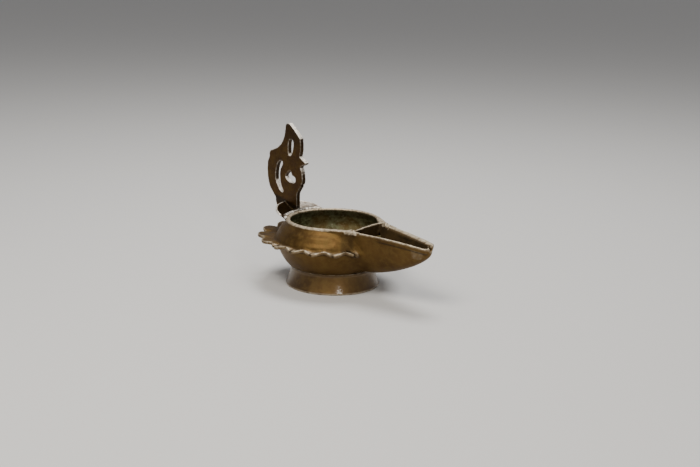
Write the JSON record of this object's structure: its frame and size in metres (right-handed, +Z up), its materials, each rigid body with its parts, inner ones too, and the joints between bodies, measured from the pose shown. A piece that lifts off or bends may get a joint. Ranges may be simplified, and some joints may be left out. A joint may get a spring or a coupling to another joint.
{
  "type": "bronze oil lamp",
  "caption": "Open cast oil lamp: round bowl on a flared foot, scalloped flange, long boat-shaped wick spout and an upright openwork thumb-rest on a ledge behind the rim.",
  "frame": {"origin": "on the surface that the foot stands on, below the middle of the lamp's whole length", "axes": "+X along the spout towards its tip, +Z up"},
  "size_m": [0.202, 0.1151, 0.1338],
  "materials": {
    "bronze": "worn patinated cast bronze",
    "dark_bronze": "dark patinated cast bronze"
  },
  "bodies": {
    "root": {"foot": "bronze", "bowl": "bronze", "thumb_rest": "dark_bronze"}
  },
  "joints": []
}
